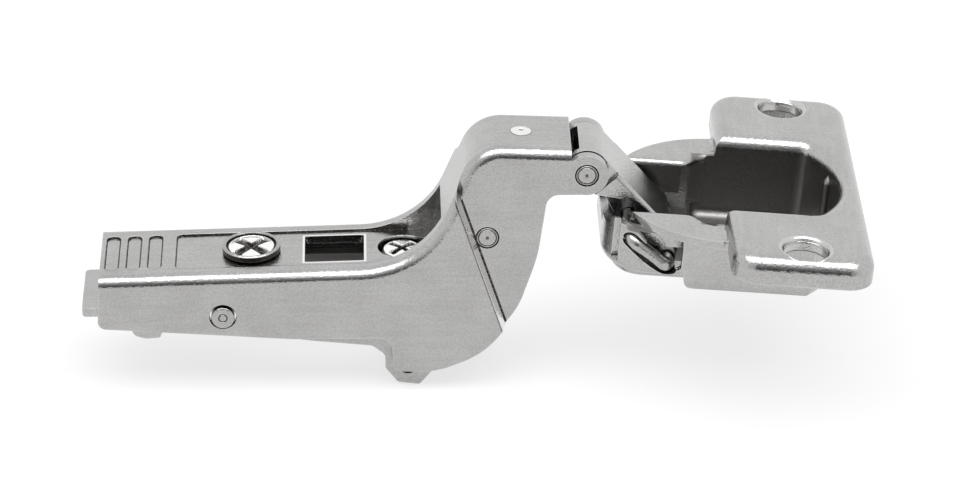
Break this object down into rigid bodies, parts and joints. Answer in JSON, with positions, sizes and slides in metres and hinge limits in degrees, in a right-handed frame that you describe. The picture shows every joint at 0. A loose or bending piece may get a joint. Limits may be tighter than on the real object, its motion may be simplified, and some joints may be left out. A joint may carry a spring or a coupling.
{
  "type": "concealed cup hinge",
  "caption": "Clip-on concealed cabinet hinge with a cranked arm, depth cam, side screw and folding links to a round door cup with screw flange, fully open.",
  "frame": {"origin": "centre of the front hook's round seat, where the mounting plate's bar lies, midway across the hinge", "axes": "+X runs along the arm from its rear end towards the door cup, +Y across the hinge, +Z away from the cabinet panel"},
  "size_m": [0.1123, 0.0536, 0.0377],
  "materials": {
    "plated_sheet": "satin nickel plate on pressed steel sheet",
    "plated_screw": "zinc-nickel plated screw steel, a little darker in its recesses",
    "pin_steel": "plated axle and wire steel",
    "spring_steel": "oiled spring wire"
  },
  "bodies": {
    "adapter_base": {"adapter": "plated_sheet", "lever_axle": "pin_steel", "lever_spring": "spring_steel"},
    "lever": {"release_lever": "plated_sheet"},
    "carriage": {"rear_tilt_pin": "pin_steel"},
    "arm_body": {"arm": "plated_sheet", "outer_link_axle": "pin_steel", "inner_link_axle": "pin_steel"},
    "cam": {"depth_cam_screw": "plated_screw", "cam_retaining_ring": "plated_screw"},
    "side_adjuster": {"side_screw": "plated_screw"},
    "outer_arm": {"outer_link": "plated_sheet"},
    "inner_arm": {"inner_link": "plated_sheet"},
    "cup_body": {"cup": "plated_sheet", "cup_axle_bow": "pin_steel", "closing_spring_near": "spring_steel", "closing_spring_far": "spring_steel"}
  },
  "joints": [
    {"name": "lever_press", "type": "hinge", "parent": "adapter_base", "child": "lever", "pos_m": [-0.0369, 0, 0.0076], "axis": [0, 1, 0], "range_deg": [0, 15], "stiffness_Nm_per_rad": 0.1, "springref_deg": -28.65},
    {"name": "depth_slide", "type": "slide", "parent": "adapter_base", "child": "carriage", "axis": [1, 0, 0], "range_m": [-0.0015, 0.0015]},
    {"name": "side_tilt", "type": "hinge", "parent": "carriage", "child": "arm_body", "pos_m": [-0.02663, 0, 0.00898], "axis": [0, -1, 0], "range_deg": [-2.4, 2.4]},
    {"name": "side_screw_turn", "type": "hinge", "parent": "carriage", "child": "side_adjuster", "pos_m": [-0.0007, 0, 0.0115], "axis": [0, 0, 1], "range_deg": [-392, 392]},
    {"name": "depth_cam_turn", "type": "hinge", "parent": "arm_body", "child": "cam", "pos_m": [-0.0225, 0, 0.01588], "axis": [-0.022, 0, 0.9998], "range_deg": [-180.5, 180.5]},
    {"name": "arm_link", "type": "hinge", "parent": "arm_body", "child": "outer_arm", "pos_m": [0.0257, 0, 0.0304], "axis": [0, -1, 0], "range_deg": [-17.8, 0]},
    {"name": "cup_fold", "type": "hinge", "parent": "outer_arm", "child": "cup_body", "pos_m": [0.0371, 0, 0.0181], "axis": [0, -1, 0], "range_deg": [0, 112.66]},
    {"name": "cup_link", "type": "hinge", "parent": "cup_body", "child": "inner_arm", "pos_m": [0.03185, 0, 0.0226], "axis": [0, -1, 0], "range_deg": [-133.4, 0]}
  ],
  "couplings": [
    {"joint": "side_screw_turn", "follows": "side_tilt", "ratio": 162},
    {"joint": "depth_cam_turn", "follows": "depth_slide", "rad_per_m": 2094.4},
    {"joint": "arm_link", "follows": "cup_fold", "ratio": -0.15676},
    {"joint": "cup_link", "follows": "cup_fold", "ratio": -1.1828}
  ]
}
